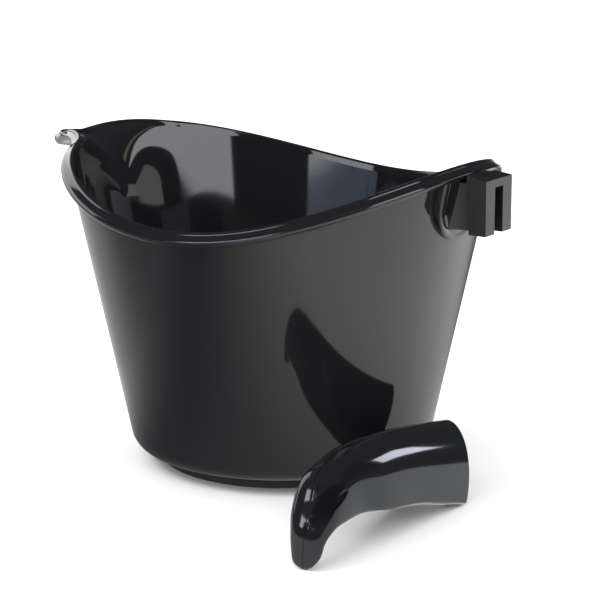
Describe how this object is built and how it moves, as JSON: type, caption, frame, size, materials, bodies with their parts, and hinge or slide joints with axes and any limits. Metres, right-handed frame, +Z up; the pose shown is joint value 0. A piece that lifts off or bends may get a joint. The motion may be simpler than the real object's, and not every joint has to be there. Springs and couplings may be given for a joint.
{
  "type": "hair color bowl",
  "caption": "Deep tapered tint mixing bowl with a wavy rim, a drawn-out pouring spout, a T-rail mounting block and a curved clip-on handle that lifts away.",
  "frame": {"origin": "centre of the flat resting face under the non-slip base", "axes": "+Z up out of the bowl's mouth, +X from the bowl's axis to the handle mounting block, -X to the pouring spout"},
  "size_m": [0.1647, 0.1498, 0.0978],
  "materials": {
    "gloss_black": "polished injection-moulded black polypropylene",
    "satin_black": "satin moulded black nylon",
    "rubber_black": "matte thermoplastic rubber"
  },
  "bodies": {
    "bowl": {"bowl_body": "gloss_black", "handle_mount_block": "satin_black", "non_slip_base": "rubber_black"},
    "handle": {"handle_left_shell": "gloss_black", "handle_right_shell": "gloss_black", "handle_locking_key": "satin_black"}
  },
  "joints": [
    {"name": "handle_lift", "type": "slide", "parent": "bowl", "child": "handle", "axis": [0, 0, 1], "range_m": [0, 0.025]}
  ]
}
